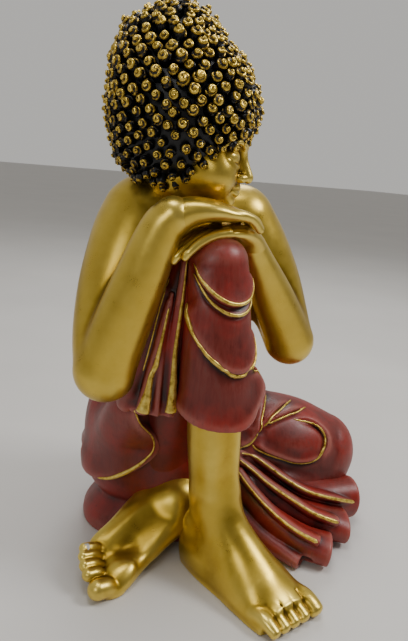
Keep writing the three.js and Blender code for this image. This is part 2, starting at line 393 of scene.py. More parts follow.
def piece(name, points, faces, material, marks, nodes):
    """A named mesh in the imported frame, with a number per point for each mark."""
    mesh = bpy.data.meshes.new(name)
    points = place(points)
    faces = np.asarray(faces)
    mesh.vertices.add(len(points))
    mesh.vertices.foreach_set("co", points.astype(np.float32).ravel())
    mesh.loops.add(faces.size)
    mesh.loops.foreach_set("vertex_index", faces.astype(np.int32).ravel())
    mesh.polygons.add(len(faces))
    mesh.polygons.foreach_set("loop_start", np.arange(len(faces), dtype=np.int32) * faces.shape[1])
    mesh.polygons.foreach_set("use_smooth", np.ones(len(faces), bool))
    mesh.update(calc_edges=True)
    mesh.validate()
    for key, values in marks.items():
        mesh.attributes.new(key, "FLOAT", "POINT").data.foreach_set("value", np.asarray(values, np.float32))
    mesh.materials.append(material)
    made = add(name, mesh)
    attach(made, "root")
    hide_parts(*nodes)


def cast(name, clay, material, nodes, chipped=()):
    """A piece made of clay, marked with how hollow each place is (turned by the paints into painted shade in
    creases and painted highlight on ridges) and where its paint is chipped.
    """
    points, quads = clay.skin()
    marks = {"hollow": clay.read(points, clay.hollows(6.0))}
    if chipped:
        marks["chip"] = chips(points, chipped)
    piece(name, points, quads, material, marks, nodes)


def chips(points, spots):
    """Marks the points near spots where the paint has flaked to white."""
    return sum(np.exp(-((np.linalg.norm(points - np.array(s), axis=1) / 4.5) ** 2)) for s in spots)


def strand(path, side, top, radii, sides):
    """A skin of rings along a path, oval where side and top differ, with a tip at each end."""
    turn = 2 * np.pi * np.arange(sides) / sides
    ring = side[:, None] * np.cos(turn)[None, :, None] + top[:, None] * np.sin(turn)[None, :, None]
    body = (path[:, None] + ring * radii[:, None, None]).reshape(-1, 3)
    count = len(path)
    faces = []
    for i in range(count - 1):
        for k in range(sides):
            a, b = i * sides + k, i * sides + (k + 1) % sides
            faces.append([a, a + sides, b + sides, b])
    n = count * sides
    for k in range(0, sides, 2):
        m, e = (k + 1) % sides, (k + 2) % sides
        faces.append([n, k, m, e])
        faces.append([n + 1, n - sides + e, n - sides + m, n - sides + k])
    return np.vstack([body, path[0], path[-1]]), np.array(faces)


def gather(parts):
    """Joins many point-and-face sets into one."""
    points, faces, count = [], [], 0
    for p, f in parts:
        points.append(p)
        faces.append(f + count)
        count += len(p)
    return np.vstack(points), np.vstack(faces)


# ---- materials
class Graph:
    """The nodes of a material, or of a world, made one call at a time."""

    def __init__(self, name, shelf=bpy.data.materials):
        self.owner = shelf.new(name)
        self.owner.use_nodes = True
        self.tree = self.owner.node_tree
        self.tree.nodes.clear()

    def node(self, kind, inputs=(), out=0, **settings):
        """Adds a node and gives one output, or the node itself."""
        made = self.tree.nodes.new("ShaderNode" + kind)
        for key, value in settings.items():
            setattr(made, key, value)
        for key, value in dict(inputs).items():
            if isinstance(value, bpy.types.NodeSocket):
                self.tree.links.new(value, made.inputs[key])
            else:
                made.inputs[key].default_value = value
        return made.outputs[out] if out is not None else made

    def noise(self, size, detail=4.0, rough=0.6, stretch=(1, 1, 1)):
        """Cloudy noise with features of about `size` metres."""
        where = self.node("TexCoord", out="Object")
        where = self.node("Mapping", {"Vector": where, "Scale": stretch})
        values = {"Vector": where, "Scale": 1 / size, "Detail": detail, "Roughness": rough}
        return self.node("TexNoise", values)

    def mark(self, name):
        """A number stored on the mesh."""
        return self.node("Attribute", out="Fac", attribute_name=name)

    def ramp(self, value, *stops):
        """A colour between stops."""
        made = self.node("ValToRGB", {"Fac": value}, out=None)
        ramp = made.color_ramp
        while len(ramp.elements) < len(stops):
            ramp.elements.new(1.0)
        for element, (at, colour) in zip(ramp.elements, stops):
            element.position = at
            element.color = (*colour, 1)
        return made.outputs[0]

    def span(self, value, low, high, to_low=0.0, to_high=1.0):
        """A number carried from one range to another."""
        values = {"Value": value, "From Min": low, "From Max": high, "To Min": to_low, "To Max": to_high}
        return self.node("MapRange", values)

    def mix(self, amount, a, b):
        """One colour laid over another."""
        return self.node("Mix", {0: amount, 6: a, 7: (*b, 1)}, out=2, data_type="RGBA")

    def sum(self, a, b, kind="ADD"):
        """Two numbers added, or multiplied."""
        return self.node("Math", {0: a, 1: b}, operation=kind)

    def finish(self, colour, roughness, bump=None, **fixed):
        """The painted surface; bump is a height, a strength and a distance, and the rest goes on the
        shader's inputs of those names."""
        inputs = {"Base Color": colour, "Roughness": roughness}
        inputs |= {key.replace("_", " "): value for key, value in fixed.items()}
        if bump:
            inputs["Normal"] = self.node("Bump", dict(zip(("Height", "Strength", "Distance"), bump)))
        self.node("OutputMaterial", {"Surface": self.node("BsdfPrincipled", inputs)}, out=None)
        return self.owner


def flaked(g, tone):
    """White filler where the paint has flaked, and how much metal is left there."""
    flake = g.sum(g.mark("chip"), g.span(g.noise(0.004, 3.0), 0.3, 0.7, -0.35, 0.25))
    return g.mix(g.span(flake, 0.45, 0.5), tone, (0.62, 0.60, 0.55)), g.span(flake, 0.45, 0.5, 0.9, 0.0)


def gold_paint():
    g = Graph("gold_paint")
    cloud = g.noise(0.05, 3.0)
    grain = g.noise(0.0012, 2.0)
    patch = g.noise(0.018, 5.0)
    # painted shade and painted highlight: the gold darkens in creases (partly dirt settled there) and
    # brightens on ridges, driven by the hollow mark
    grime_and_painted_light = g.sum(g.mark("hollow"), g.span(patch, 0.3, 0.7, -0.02, 0.02))
    tone = g.ramp(g.span(grime_and_painted_light, -0.16, 0.16), (0.0, (0.11, 0.058, 0.004)), (0.35, (0.38, 0.235, 0.02)),
                  (0.55, (0.6, 0.41, 0.05)), (1.0, (0.84, 0.64, 0.14)))
    tone = g.mix(g.span(cloud, 0.35, 0.7, 0.0, 0.35), tone, (0.42, 0.27, 0.03))
    rough = g.sum(g.span(patch, 0.3, 0.7, 0.27, 0.37), g.span(grain, 0.3, 0.7, -0.02, 0.03))
    tone, metal = flaked(g, tone)
    return g.finish(tone, rough, (grain, 0.12, 0.0004), Metallic=metal)


def robe_paint():
    g = Graph("robe_paint")
    streak = g.noise(0.012, 6.0, 0.7, (3.0, 3.0, 0.4))
    patch = g.noise(0.055, 4.0)
    fine = g.noise(0.0018, 3.0)
    # painted shade and painted highlight: the red darkens in creases and turns pale pink on ridges (partly
    # worn edges); the streaks are brush marks
    grime_and_painted_light = g.sum(g.mark("hollow"), g.span(streak, 0.3, 0.7, -0.04, 0.04))
    tone = g.ramp(g.span(grime_and_painted_light, -0.16, 0.16), (0.0, (0.016, 0.0008, 0.0006)), (0.4, (0.095, 0.0065, 0.0035)),
                  (0.62, (0.165, 0.018, 0.011)), (1.0, (0.31, 0.085, 0.065)))
    tone = g.mix(g.span(patch, 0.44, 0.70, 0.0, 0.75), tone, (0.34, 0.014, 0.007))
    tone = g.mix(g.span(streak, 0.54, 0.76, 0.0, 0.55), tone, (0.028, 0.012, 0.011))
    rough = g.span(streak, 0.3, 0.7, 0.34, 0.48)
    return g.finish(tone, rough, (g.sum(streak, fine), 0.16, 0.0005), Metallic=0.0)


def trim_paint():
    g = Graph("gold_trim")
    patch = g.noise(0.006, 4.0)
    tone = g.ramp(patch, (0.3, (0.36, 0.22, 0.025)), (0.5, (0.75, 0.54, 0.10)), (0.75, (0.90, 0.72, 0.22)))
    return g.finish(tone, g.span(patch, 0.3, 0.7, 0.27, 0.45), (patch, 0.3, 0.0006), Metallic=0.8)


def hair_paint():
    g = Graph("hair_paint")
    speck = g.noise(0.003, 4.0)
    where = g.sum(g.mark("tip"), g.span(speck, 0.3, 0.7, -0.17, 0.17))
    tone = g.ramp(where, (0.5, (0.0035, 0.0035, 0.0045)), (0.6, (0.34, 0.21, 0.022)),
                  (0.85, (0.82, 0.58, 0.1)))
    metal = g.span(where, 0.5, 0.62, 0.0, 0.9)
    tone, bare = flaked(g, tone)
    return g.finish(tone, g.span(where, 0.5, 0.65, 0.36, 0.27), (speck, 0.2, 0.0005),
                    Metallic=g.sum(metal, bare, "MULTIPLY"), Specular_IOR_Level=0.4)


def raw_resin():
    g = Graph("raw_resin")
    patch = g.noise(0.02, 6.0)
    tone = g.ramp(patch, (0.3, (0.22, 0.20, 0.16)), (0.7, (0.34, 0.32, 0.27)))
    return g.finish(tone, g.span(patch, 0.3, 0.7, 0.8, 0.95), (patch, 0.3, 0.001))


GOLD, ROBE, TRIM, HAIR, RAW = gold_paint(), robe_paint(), trim_paint(), hair_paint(), raw_resin()

# ---- trunk and arms
UPRIGHT = (0, 1, 0)


def upper_body():
    c = Clay((-230, -90, 150), (130, 200, 480), 1.7)
    c.limb([[-8, 106, 120, 92, 62], [-14, 102, 200, 84, 58], [-28, 90, 275, 84, 58], [-44, 76, 336, 94, 57],
            [-49, 68, 372, 88, 50], [-54, 64, 398, 62, 42]], up=UPRIGHT, ends=(0, 0.9), reach=28)
    c.lump((-50, 84, 376), (72, 34, 42), 26, reach=28)
    c.limb([[-48, 76, 345, 32], [-62, 64, 385, 35], [-78, 52, 430, 33], [-92, 42, 470, 31]], 26, up=UPRIGHT,
           ends=(1, 0), reach=28)
    c.rope([[-10, 174, 190, 6], [-24, 160, 260, 8], [-36, 149, 310, 8], [-46, 140, 350, 5]], 24, dig=True)
    for side in (-1, 1):
        c.lump((-42 + 40 * side, 108, 340), (24, 14, 34), 26, reach=28)
    c.limb([[-108, 66, 396, 50], [-120, 60, 378, 49], [-134, 51, 352, 46], [-149, 40, 318, 42],
            [-161, 27, 276, 38], [-169, 8, 242, 34]], 22, up=UPRIGHT, reach=26)
    c.limb([[14, 60, 400, 43], [34, 51, 368, 42], [55, 39, 328, 38], [70, 28, 288, 34], [78, 16, 256, 31]],
           22, up=UPRIGHT, reach=26)
    c.limb([[-170, 5, 242, 33], [-161, -3, 283, 31], [-147, -17, 341, 27], [-132, -28, 394, 22],
            [-122, -34, 410, 20]], 4, up=UPRIGHT)
    c.limb([[79, 13, 254, 30], [58, 8, 284, 28], [30, 0, 322, 25], [-2, -14, 362, 18], [-16, -20, 380, 15]],
           4, up=UPRIGHT)
    c.soften()
    cast("bare_upper_body", c, GOLD, ("torso_shell", "right_arm", "left_arm"))


# ---- legs
def right_leg():
    c = Clay((-115, -200, -6), (65, 10, 290), 1.3)
    c.limb([[-66, -40, 270, 27], [-63, -42, 240, 29], [-58, -43, 165, 28.5], [-52, -45, 100, 26.5],
            [-49, -45, 66, 27], [-50, -41, 30, 29, 33]], up=UPRIGHT, reach=28)
    for x in (-75, -47):
        c.rope([[x, -61, 240, 5], [x + 5, -63, 165, 5], [x + 9, -64, 110, 3]], 12)
    c.limb([[-52, -30, 10, 26, 34], [-45, -62, 10, 30, 52], [-30, -98, 9, 37, 38], [-19, -134, 8, 41, 26],
            [-15, -156, 6, 40, 19]], 20, ends=(0.8, 0.3), reach=28)
    c.limb([[-50, -50, 98, 21], [-45, -68, 68, 23], [-35, -90, 41, 26], [-28, -112, 20, 28]], 22, reach=28)
    c.rope([[-34, -76, 66, 4], [-28, -96, 50, 5], [-22, -120, 34, 4]], 14)
    c.lump((-24, -40, 60), (9, 12, 12), 12)
    c.lump((-71, -36, 56), (8, 11, 11), 14)
    ahead, across = np.array([0.30, -0.954, 0]), np.array([0.954, 0.30, 0])

    def toe(o, f, z):
        return np.array([-5, -174, z]) + o * across + f * ahead

    toes = ((-35, 7.4), (-21, 7.6), (-7, 7.8), (7, 8.2), (25, 10.8))
    for o, r in toes:
        f = -2 + 0.16 * o
        high = min(r, 9.4)
        rows = [[*toe(o * 0.97, f - 34, 14), r * 1.02, high], [*toe(o, f - 22, 15), r, high],
                [*toe(o, f - 12, 12), r, high * 0.96], [*toe(o, f - 4, 8), r * 0.9, high * 0.86]]
        c.limb(rows, 3, ends=(1, 0.6))
    for (o, r), (p, q) in zip(toes, toes[1:]):
        m = (o + r + p - q) / 2
        f = -2 + 0.16 * m
        c.rope([[*toe(m, f - 25, 26), 0.8], [*toe(m, f - 16, 22), 1.1], [*toe(m, f - 4, 14), 0.9]], 2.5,
               dig=True)
    c.rope([[-52, -163, 23, 0.6], [-38, -161, 27, 0.8], [-22, -158, 29, 0.8], [-5, -155, 30, 0.8],
            [10, -151, 31, 0.6]], 4, dig=True)
    for o, r in toes:
        f = -2 + 0.16 * o
        nail = np.array([across, unit(ahead - [0, 0, 0.35]), unit(np.cross(across, ahead - [0, 0, 0.35]))])
        spot = toe(o, f - 4.5, 8.2 + min(r, 9.4) * 0.8)
        c.lump(spot - [0, 0, 0.5], (r * 0.62, 4.8, 1.5), 0.6, nail)
    c.limb([[-52, -32, 1, 27, 4], [-45, -62, 1, 31, 4], [-30, -98, 1, 38, 4], [-19, -134, 1, 42, 4],
            [-15, -154, 1, 41, 3]], 1, ends=(6, 2))
    c.stand()
    cast("right_leg_and_foot", c, GOLD, ("right_leg",),
         chipped=((2, -186, 5), (-24, -190, 3), (28, -176, 7), (-84, -36, 5)))


def left_foot():
    c = Clay((-225, -90, -6), (20, 90, 125), 1.2)
    sole = unit((-0.28, -0.62, 0.85))
    along = unit(np.cross((0.42, -0.85, -0.5), sole))
    lying = np.array([along, np.cross(sole, along), sole])
    c.limb([[-14, 26, 52, 34, 30], [-56, 22, 52, 42, 30], [-96, 11, 42, 38, 26], [-135, -6, 29, 35, 21],
            [-165, -18, 23, 36, 18], [-182, -24, 22, 34, 15]], up=sole, ends=(0.8, 0.6))
    c.keep(c.half((-96, 0, 60), sole), 16)
    c.dent((-122, -17, 52), (40, 15, 12), 16, lying)
    c.dent((-145, -20, 38), (13, 9, 9), 9, lying)
    c.lump((-66, 14, 62), (26, 24, 20), 16, lying)
    c.lump((-166, -42, 12), (24, 13, 8), 20, lying)
    toes = ((-191, -7, 36, 5.8), (-194, -15, 32, 6.2), (-195, -24, 27, 6.6), (-194, -34, 22, 7.2),
            (-188, -49, 13, 11.4))
    for x, y, z, r in toes:
        c.limb([[x + 22, y + 3, z - 11, r * 0.8], [x + 10, y + 1, z - 2, r * 0.95], [x, y, z, r]], 3)
    c.rope([[-177, -44, 29, 1.2], [-182, -36, 33, 1.6], [-186, -24, 38, 1.6], [-189, -12, 42, 1.4]], 3,
           dig=True)
    c.stand()
    cast("left_foot_sole", c, GOLD, ("left_foot",),
         chipped=((-182, -36, 32), (-185, -24, 36), (-188, -12, 42), (-124, -24, 46)))


# ---- hands
def right_hand():
    c = Clay((-150, -85, 375), (-5, 5, 455), 1.0)
    c.limb([[-124, -33, 404, 18, 17], [-108, -37, 415, 20, 15], [-88, -40, 418, 24, 12],
            [-68, -41, 416, 24, 9], [-60, -41, 415, 22, 8]], ends=(0.6, 0.5))
    for y, tip, r in ((-57, -34, 5.6), (-47, -27, 5.8), (-36, -29, 5.8), (-26, -36, 5.2)):
        c.limb([[-78, y + 1, 416, r * 1.1], [-62, y, 416, r * 1.06], [-50, y, 414, r * 0.94],
                [tip - 8, y + 0.5, 410, r * 0.9], [tip, y + 1, 402, r * 0.78]], 1.6)
        c.lump((tip - 1, y + 0.6, 407), (3.2, 3.1, 1.8), 0.4,
               np.array([[0.62, 0, -0.78], [0, 1, 0], [0.78, 0, 0.62]]))
    c.limb([[-108, -20, 410, 9], [-92, -14, 411, 8], [-76, -13, 410, 6.6], [-62, -17, 408, 5.6]], 4)
    for y in (-52, -41.5, -31):
        c.rope([[-68, y, 426, 1.2], [-56, y, 421.5, 1.3], [-44, y, 419, 1.2]], 1.6, dig=True)
    cast("right_hand_upper", c, GOLD, ("right_hand",))


def left_hand():
    c = Clay((-145, -80, 345), (10, 25, 430), 1.0)
    c.limb([[-14, -18, 378, 16, 15], [-30, -25, 391, 18, 12], [-48, -28, 396, 23, 10],
            [-68, -30, 396, 23, 8], [-78, -30, 394, 20, 7]], ends=(0.6, 0.5))
    for y, tip, r in ((-48, (-112, 372), 5.4), (-38, (-119, 367), 5.6), (-27, (-120, 368), 5.6),
                      (-16, (-113, 375), 5.1)):
        x, z = tip
        c.limb([[-66, y, 397, r * 1.06], [-82, y, 394, r], [-97, y, 387, r * 0.95],
                [x + 4, y, z + 6, r * 0.84], [x, y + 1, z, r * 0.7]], 1.5)
        c.lump((x - 1, y + 0.5, z + 5.6), (3.4, 3.0, 1.7), 0.4,
               np.array([[-0.6, 0, -0.8], [0, 1, 0], [-0.8, 0, 0.6]]))
    c.limb([[-34, -10, 388, 8], [-52, -8, 391, 7], [-68, -9, 389, 5.6]], 4)
    cast("left_hand_lower", c, GOLD, ("left_hand",))


# ---- head
HEAD = np.array([-88.0, 22.0, 518.0])
YAW, PITCH = math.radians(-38), math.radians(4)
FACING = np.array([math.cos(YAW) * math.cos(PITCH), math.sin(YAW) * math.cos(PITCH), -math.sin(PITCH)])
LEFTWARD = np.array([-math.sin(YAW), math.cos(YAW), 0])
CROWN = np.cross(FACING, LEFTWARD)
HEAD_FRAME = np.array([FACING, LEFTWARD, CROWN])
# hair rings from the nape up: middle, height, half-depth, half-breadth
SKULL = [
    [-7, -77, 30, 34], [-5, -70, 43, 46], [-5, -60, 53, 55], [-5, -45, 61, 60], [-4, -27, 67, 65],
    [-3, -2, 71, 66], [-6, 22, 68, 64], [-13, 45, 57, 55], [-20, 60, 47, 45], [-19, 72, 34, 33],
    [-17, 80, 22, 21]]
# face rings from the jaw up: middle, height, half-depth, half-breadth
FACE = [[18, -79, 34, 24], [17, -70, 43, 34], [15, -57, 49, 41], [13, -42, 52, 45], [12, -26, 54, 47.5],
        [11, -10, 54, 49], [4, 8, 53, 49], [-4, 34, 48, 48]]


def on_head(f, l, u):
    """A place so far forward, to the left and up in the head."""
    return HEAD + f * FACING + l * LEFTWARD + u * CROWN


def rings(c, rows, grow, ends):
    """A tube through rings of the head, all level with the crown."""
    return c.tube([[*on_head(f, 0, u), a + grow, b + grow] for f, u, a, b in rows], up=LEFTWARD, axis=CROWN,
                  ends=ends)


FACE_DOWN = 16.0  # mm, from the rings' own middle


def head():
    c = Clay((-170, -85, 405), (25, 105, 590), 1.1)

    def ball(f, l, u, radii):
        return c.ball(on_head(f, l, u - FACE_DOWN), radii, HEAD_FRAME)

    def line(points, soft, dig=False):
        c.rope([[*on_head(f, l, u - FACE_DOWN), r] for f, l, u, r in points], soft, dig=dig)

    c.join(rings(c, [[f, u - FACE_DOWN, a, b] for f, u, a, b in FACE], 0, (0.5, 0.4)))
    c.join(ball(54, 0, -71, (11, 12, 10)), 9)
    for s in (-1, 1):
        c.join(ball(46, 25 * s, -46, (18, 19, 20)), 14)
        c.cut(ball(76, 20 * s, -24, (13, 15, 9)), 9)
        c.join(ball(56.5, 20.5 * s, -28, (9, 14, 9)), 4)
        line([(67, 4 * s, -21, 2.4), (68, 10 * s, -15.5, 2.4), (64, 22 * s, -12, 2.2),
              (56, 34 * s, -15, 1.6), (49, 41 * s, -20, 1)], 5)
        line([(64.5, 7 * s, -31.5, 0.8), (66.3, 14 * s, -33.6, 0.9), (64.2, 24 * s, -33.4, 0.9),
              (57, 35 * s, -29, 0.7)], 1.2, dig=True)
        line([(63, 8 * s, -34, 1), (65.2, 15 * s, -36.4, 1.2), (62.8, 25 * s, -36, 1.2),
              (56, 34 * s, -32, 0.8)], 3)
        line([(66.5, 9 * s, -24.6, 0.6), (66.8, 18 * s, -21.6, 0.7), (61.5, 29 * s, -22.4, 0.6)], 2.5,
             dig=True)
    line([(62, 0, -14, 4), (66, 0, -26, 5), (71, 0, -37, 5.6), (74.5, 0, -45, 6.4)], 7)
    for s in (-1, 1):
        c.join(ball(68.5, 7.6 * s, -47, (6, 4.8, 4.6)), 3)
        c.cut(ball(71, 4.4 * s, -52.6, (3, 2, 2.2)), 1.5)
        line([(60, 14 * s, -58, 1.4), (65.5, 5.5 * s, -55.6, 2.8), (66.5, 0, -56.4, 2.6)], 2.6)
        c.cut(ball(61.5, 17 * s, -58.6, (3, 2, 2)), 3)
    line([(60, -13, -60, 1.4), (64.8, -6, -62.4, 3), (65.6, 0, -62.8, 3.2), (64.8, 6, -62.4, 3),
          (60, 13, -60, 1.4)], 2.6)
    line([(62, -15, -58.4, 0.6), (67.8, -5, -59.2, 0.8), (69, 0, -59.4, 0.8), (67.8, 5, -59.2, 0.8),
          (62, 15, -58.4, 0.6)], 1, dig=True)
    c.cut(ball(69.5, 0, -51.5, (3, 2.2, 4)), 3)
    cast("head_and_face", c, GOLD, ("head_shell",))


HAIR_EDGE = (70, 0, -14), 0.72 * FACING - 0.70 * CROWN  # the hairline: a place on it and its outward way
CURLS = 480  # spread over the whole cap, before the hairline takes some away
CURL_GAP = 15.9  # mm


def curl(spot, out, size, turned):
    """A snail curl: a stalk with a coil climbing over its rounded tip, and how far up each point is."""
    side = unit(np.cross(out, (0.3, 0.8, 0.5)))
    other = np.cross(out, side)

    def about(angles):
        return np.cos(angles)[:, None] * side + np.sin(angles)[:, None] * other

    stub, height = [], 11.5 * size
    for z, r in ((-0.2, 5.4), (0.3, 4.7), (0.6, 4.5), (0.8, 3.4), (0.92, 1.8)):
        stub.append(spot + out * z * height + size * r * about(np.arange(8) * math.pi / 4))
    stub = np.vstack(stub + [[spot + out * height * 0.96]])
    faces = [[i * 8 + k, i * 8 + (k + 1) % 8, i * 8 + 8 + (k + 1) % 8, i * 8 + 8 + k]
             for i in range(4) for k in range(8)]
    faces += [[32 + k, 32 + k + 1, 32 + (k + 2) % 8, 40] for k in (0, 2, 4, 6)]
    t = np.linspace(0, 1, 24)
    angle = turned + t * 3.3 * math.pi
    wide = size * (4.0 - 3.7 * t**1.2)
    rise = height * (0.42 + 0.56 * t**0.7)
    path = spot + out * rise[:, None] + wide[:, None] * about(angle)
    ahead = np.gradient(path, axis=0)
    flank = units(np.cross(ahead, out))
    top = units(np.cross(flank, ahead))
    coil, more = strand(path, flank, top, size * (1.9 - 0.3 * t), 6)
    middle = np.vstack([np.repeat(path, 6, axis=0), path[0], path[-1]])
    lean = coil - middle
    outward = lean @ out / size + 0.5 * (lean * (middle - spot - out * rise.mean())).sum(1) / 9
    points, faces = gather([(stub, np.array(faces)), (coil, more)])
    stem = (stub - spot) @ out / height
    climb = 0.78 * (middle - spot) @ out / height
    return points, faces, np.concatenate([0.75 * stem - 0.22, -0.16 + climb + 0.17 * outward])


def hair():
    c = Clay((-190, -75, 415), (25, 130, 640), 1.7)
    c.join(rings(c, SKULL, -0.5, (0.25, 0.3)))
    c.keep(c.half(on_head(*HAIR_EDGE[0]), HAIR_EDGE[1]), 5)
    c.dent(on_head(74, 0, -34), (18, 40, 24), 4, HEAD_FRAME)
    cast("hair_cap_skin", c, HAIR, ("hair_cap",))

    edge_at, edge_out = on_head(*HAIR_EDGE[0]), unit(HAIR_EDGE[1])
    k = np.arange(CURLS) + 0.5
    tall = np.arccos(1 - 2 * k / CURLS)
    turn = math.pi * (1 + 5**0.5) * k
    ways = np.stack([np.sin(turn) * np.sin(tall), np.cos(turn) * np.sin(tall), np.cos(tall)], 1)
    spots = on_head(-3, 0, 0) + (ways * (68, 64, 80)) @ HEAD_FRAME
    spots = c.settle(spots, rounds=14)
    spots = spots[(spots - edge_at) @ edge_out < 1]
    for _ in range(60):
        away = spots[:, None] - spots[None]
        gap = np.linalg.norm(away, axis=2) + np.eye(len(spots)) * 99
        push = (away / gap[..., None] * np.clip(CURL_GAP - gap, 0, None)[..., None]).sum(1) * 0.16
        spots = spots + push
        past = np.clip((spots - edge_at) @ edge_out + 2.5, 0, None)
        spots = c.settle(spots - past[:, None] * edge_out, rounds=2)
    normals = c.normals(spots)
    under = (spots - HEAD) @ CROWN < -81
    spots = c.settle(spots + rng.uniform(-1.5, 1.5, spots.shape), rounds=3)
    parts, tips = [], []
    for spot, out, hidden in zip(spots, normals, under):
        if hidden:
            continue
        low = step_up((spot - HEAD) @ CROWN, -80, 20)
        size = (0.96 + 0.24 * low) * rng.uniform(0.88, 1.1)
        out = unit(out + rng.normal(0, 0.09, 3) + (0, 0, 0.08))
        points, faces, tip = curl(spot - out * 1.2, out, size, rng.uniform(0, 6.28))
        parts.append((points, faces))
        tips.append(tip - 0.04 + 0.11 * low + rng.uniform(-0.05, 0.05))
    points, faces = gather(parts)
    chipped = on_head(-6, -62, 40), on_head(-4, -58, 46)
    marks = {"tip": np.concatenate(tips), "chip": chips(points, chipped)}
    piece("hair_curls", points, faces, HAIR, marks, ("hair_cap",))


# ---- robe
def drawn(points, radii):
    """A line's points with a radius each."""
    return [[*p, r] for p, r in zip(points, radii)]


def bead(name, clay, lines, nodes, blunt=False):
    """Raised gold edging along lines of [x, y, z, radius]; a blunt one ends at full width."""
    parts = []
    for points in lines:
        line = curve(points, 1.6)
        spots = clay.settle(line[:, :3])
        calm(spots, 8)
        up = clay.normals(spots)
        knots = np.arange(0, len(line) + 3, 3)
        wave = np.interp(np.arange(len(line)), knots, rng.uniform(0.93, 1.07, len(knots)))
        radii = line[:, 3] * wave
        calm(up, 4)
        spots = spots + up * (0.15 * radii - clay.read(spots))[:, None]
        side = units(np.cross(up, np.gradient(spots, axis=0)))
        from_end = np.arange(len(line))[::-1] * (9 if blunt else 1)
        taper = np.minimum(1, 0.35 + np.minimum(np.arange(len(line)), from_end) / 3)
        parts.append(strand(spots, side, 0.62 * up, radii * taper, 8))
    points, faces = gather(parts)
    piece(name, points, faces, TRIM, {}, nodes)


def drape():
    c = Clay((-130, -115, 160), (10, 25, 405), 1.3)
    c.limb([[-70, -40, 367, 31, 30], [-67, -42, 326, 34, 33], [-65, -44, 271, 38, 37],
            [-61, -46, 222, 43, 42], [-57, -48, 160, 48, 46]], up=UPRIGHT, ends=(0.9, 0))
    wide = 40  # mm from the knee's axis

    def ring(z0, rise, mid, angles):
        """Points round the knee at angles from the front, on a hanging curve."""
        out = []
        for a in angles:
            z = z0 + rise * (1 - math.cos(math.radians(a - mid)))
            x, y = -69 + (362 - z) * 0.055, -41 - (362 - z) * 0.03
            out.append([x + wide * math.sin(math.radians(a)), y - wide * math.cos(math.radians(a)), z])
        return out

    short = (-84, -62, -38, -14, 8, 30, 52, 74)
    swags = [ring(328, 38, 5, short), ring(318, 38, 5, short),
             ring(258, 50, 8, (-100, -78, -54, -30, -8, 14, 36, 58, 76))]
    c.lip(swags[2], 4.6, (0, 0, 1), 20, 0.45, (0.1, 0.02))
    c.lip(swags[1], 3.0, (0, 0, 1), 6, 0.6, (0.1, 0.02))
    c.lip(swags[0], 4.0, (0, 0, 1), 14, 0.7, (0.15, 0.02))
    # hem: cut along a curve that climbs to the figure's left, flared at the edge
    low = c.box((-130, -115, 160), (10, 25, 250))
    x, y, z = c.grid(low)
    angle = np.degrees(np.arctan2(x + 60, -(y + 46)))
    hem = 198 + np.where(angle > -5, 52, 12) * (1 - np.cos(np.radians(np.clip(angle + 5, -95, 95))))
    c.d[low] -= (9.0 * np.exp(-(((z - 232) / 22) ** 2) - ((angle - 66) / 22) ** 2)).astype(np.float32)
    ripple = 1 + 0.25 * np.sin(np.radians(angle * 5))
    c.d[low] -= (4.0 * np.exp(-(((z - hem) / 15) ** 2)) * ripple).astype(np.float32)
    inner = np.hypot(x + 60, y + 46) - 34
    edge = hem - z
    bottom = np.maximum(edge, -(inner + np.clip((z - hem - 1) * 1.2, 0, 99)))
    c.d[low] = np.maximum(c.d[low], np.where(z < hem + 30, bottom, c.d[low])).astype(np.float32)
    cast("knee_drape_folds", c, ROBE, ("knee_drape",))
    bead("knee_drape_edging", c, [
        drawn(swags[0], (0.8, 1.5, 1.9, 2.0, 1.9, 1.6, 1.1, 0.7)),
        drawn(swags[1], (0.8, 1.2, 1.5, 1.8, 1.9, 1.8, 1.5, 1.0)),
        drawn(swags[2], (2.4, 3.2, 2.4, 2.7, 3.0, 3.0, 2.7, 2.0, 1.1)),
        [[*p, 1.1] for p in ((-30, -66, 262), (-24, -62, 246), (-20, -60, 234))],
    ], ("knee_drape",))


def pleats():
    c = Clay((-170, -60, 180), (-60, 45, 405), 1.2)
    c.limb([[-94, -8, 378, 10, 14], [-106, -6, 310, 17, 20], [-114, -4, 250, 22, 23],
            [-119, -4, 192, 27, 26]], up=UPRIGHT, ends=(0.6, 0))
    folds = [
        [[-101, -26, 372, 3], [-105, -29, 325, 4.5], [-110, -29, 271, 6], [-111, -30, 238, 7.5],
         [-113, -31, 192, 9.5]],
        [[-114, -24, 322, 3], [-120, -26, 298, 4], [-125, -26, 271, 5], [-132, -25, 235, 6.5],
         [-138, -23, 192, 9]],
        [[-112, -24, 330, 2], [-117, -25, 290, 3], [-122, -28, 240, 5], [-125, -29, 192, 8]],
    ]
    for fold in folds:
        c.rope(fold, 2.5, ends=(1, 0))
    c.rope([[-108, -33, 320, 2], [-117, -35, 262, 3], [-119, -38, 192, 4]], 4, dig=True)
    c.rope([[-130, -31, 262, 2], [-133, -36, 192, 4]], 4, dig=True)
    c.rope([[-97, -34, 372, 2], [-100, -38, 300, 3], [-101, -42, 192, 4]], 4, dig=True)
    c.keep(c.half((-120, -20, 199), (-0.10, 0, -1)), 1)
    c.limb([[-118, -14, 330, 8, 6], [-130, -14, 280, 12, 8], [-142, -9, 236, 14, 10],
            [-144, 3, 204, 12, 12]], 6, up=UPRIGHT, ends=(1, 1))
    cast("side_pleat_folds", c, ROBE, ("side_pleats",))
    bead("side_pleat_edging", c, [
        [[-100, -32, 368, 1], [-104, -36, 325, 1.8], [-109, -37, 271, 2.8], [-110, -39, 238, 4.6],
         [-112, -42, 204, 6.6]],
        [[-117, -31, 317, 1.2], [-121, -32, 298, 1.5], [-126, -32, 271, 2.2], [-134, -32, 235, 4.0],
         [-141, -32, 204, 7.4]],
        [[-114, -16, 345, 0.7], [-123, -17, 315, 0.8], [-131, -18, 280, 0.8], [-138, -14, 248, 0.8]],
    ], ("side_pleats",), blunt=True)


